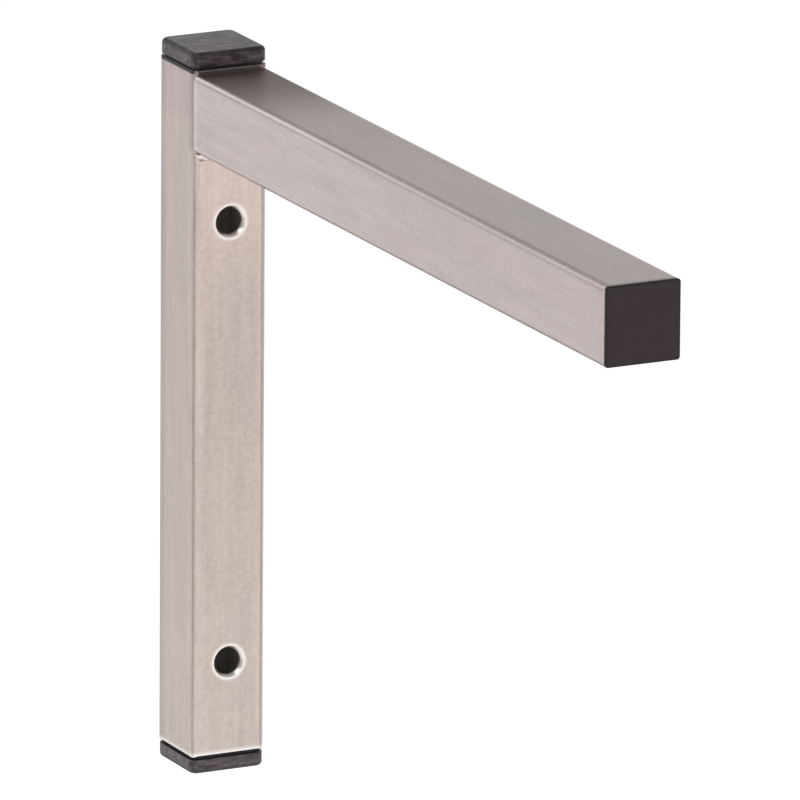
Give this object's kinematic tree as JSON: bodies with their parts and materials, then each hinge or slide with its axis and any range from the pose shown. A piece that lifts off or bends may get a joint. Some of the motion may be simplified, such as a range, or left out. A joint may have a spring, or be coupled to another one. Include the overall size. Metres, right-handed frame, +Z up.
{
  "type": "shelf bracket",
  "caption": "Fixed L-shaped shelf bracket of welded satin stainless square tube, bolted to a wall through its upright, with black plastic inserts closing the tube ends.",
  "frame": {"origin": "midway between the two bolt holes, on the upright's face that meets the wall", "axes": "+Z up along the upright, +Y into the wall along the bolts, -Y out along the arm, X across the tube"},
  "size_m": [0.025, 0.301, 0.229],
  "materials": {
    "satin_steel": "satin, fine grain along each tube",
    "weld_steel": "as welded under the arm, ground on the sides",
    "black_plastic": "moulded, fine matt texture"
  },
  "bodies": {
    "root": {"upright_tube": "satin_steel", "arm_tube": "satin_steel", "root_weld": "weld_steel", "top_cap": "black_plastic", "bottom_cap": "black_plastic", "arm_plug": "black_plastic"}
  },
  "joints": []
}
